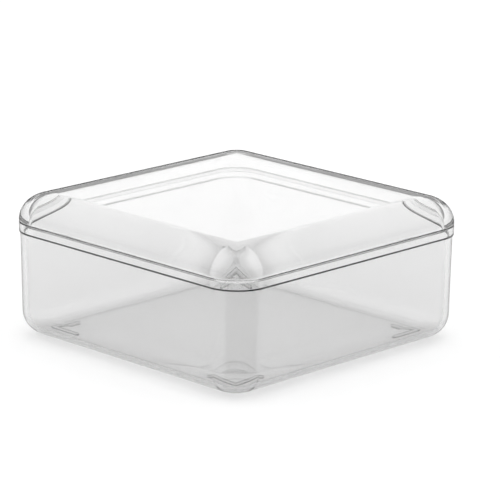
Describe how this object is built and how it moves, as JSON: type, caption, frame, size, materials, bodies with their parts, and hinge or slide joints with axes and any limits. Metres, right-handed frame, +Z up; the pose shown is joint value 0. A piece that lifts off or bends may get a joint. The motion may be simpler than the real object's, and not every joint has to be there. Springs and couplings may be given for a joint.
{
  "type": "honey container",
  "caption": "Square clear plastic comb box with rounded corners, a banded rim, corner feet and a lift-off lid with a broad rounded shoulder and a short inner lip.",
  "frame": {"origin": "on the ground under the middle of the box, at the bottom of the feet", "axes": "+Z up along the lid's lift direction, X and Y square to the side walls"},
  "size_m": [0.118, 0.118, 0.0529],
  "materials": {
    "clear_tray": "clear moulded polystyrene, polished mould",
    "clear_lid": "clear moulded polystyrene, polished mould"
  },
  "bodies": {
    "tray": {"tray": "clear_tray"},
    "lid": {"lid": "clear_lid"}
  },
  "joints": [
    {"name": "lid_lift", "type": "slide", "parent": "tray", "child": "lid", "axis": [0, 0, 1], "range_m": [0, 0.06]}
  ]
}
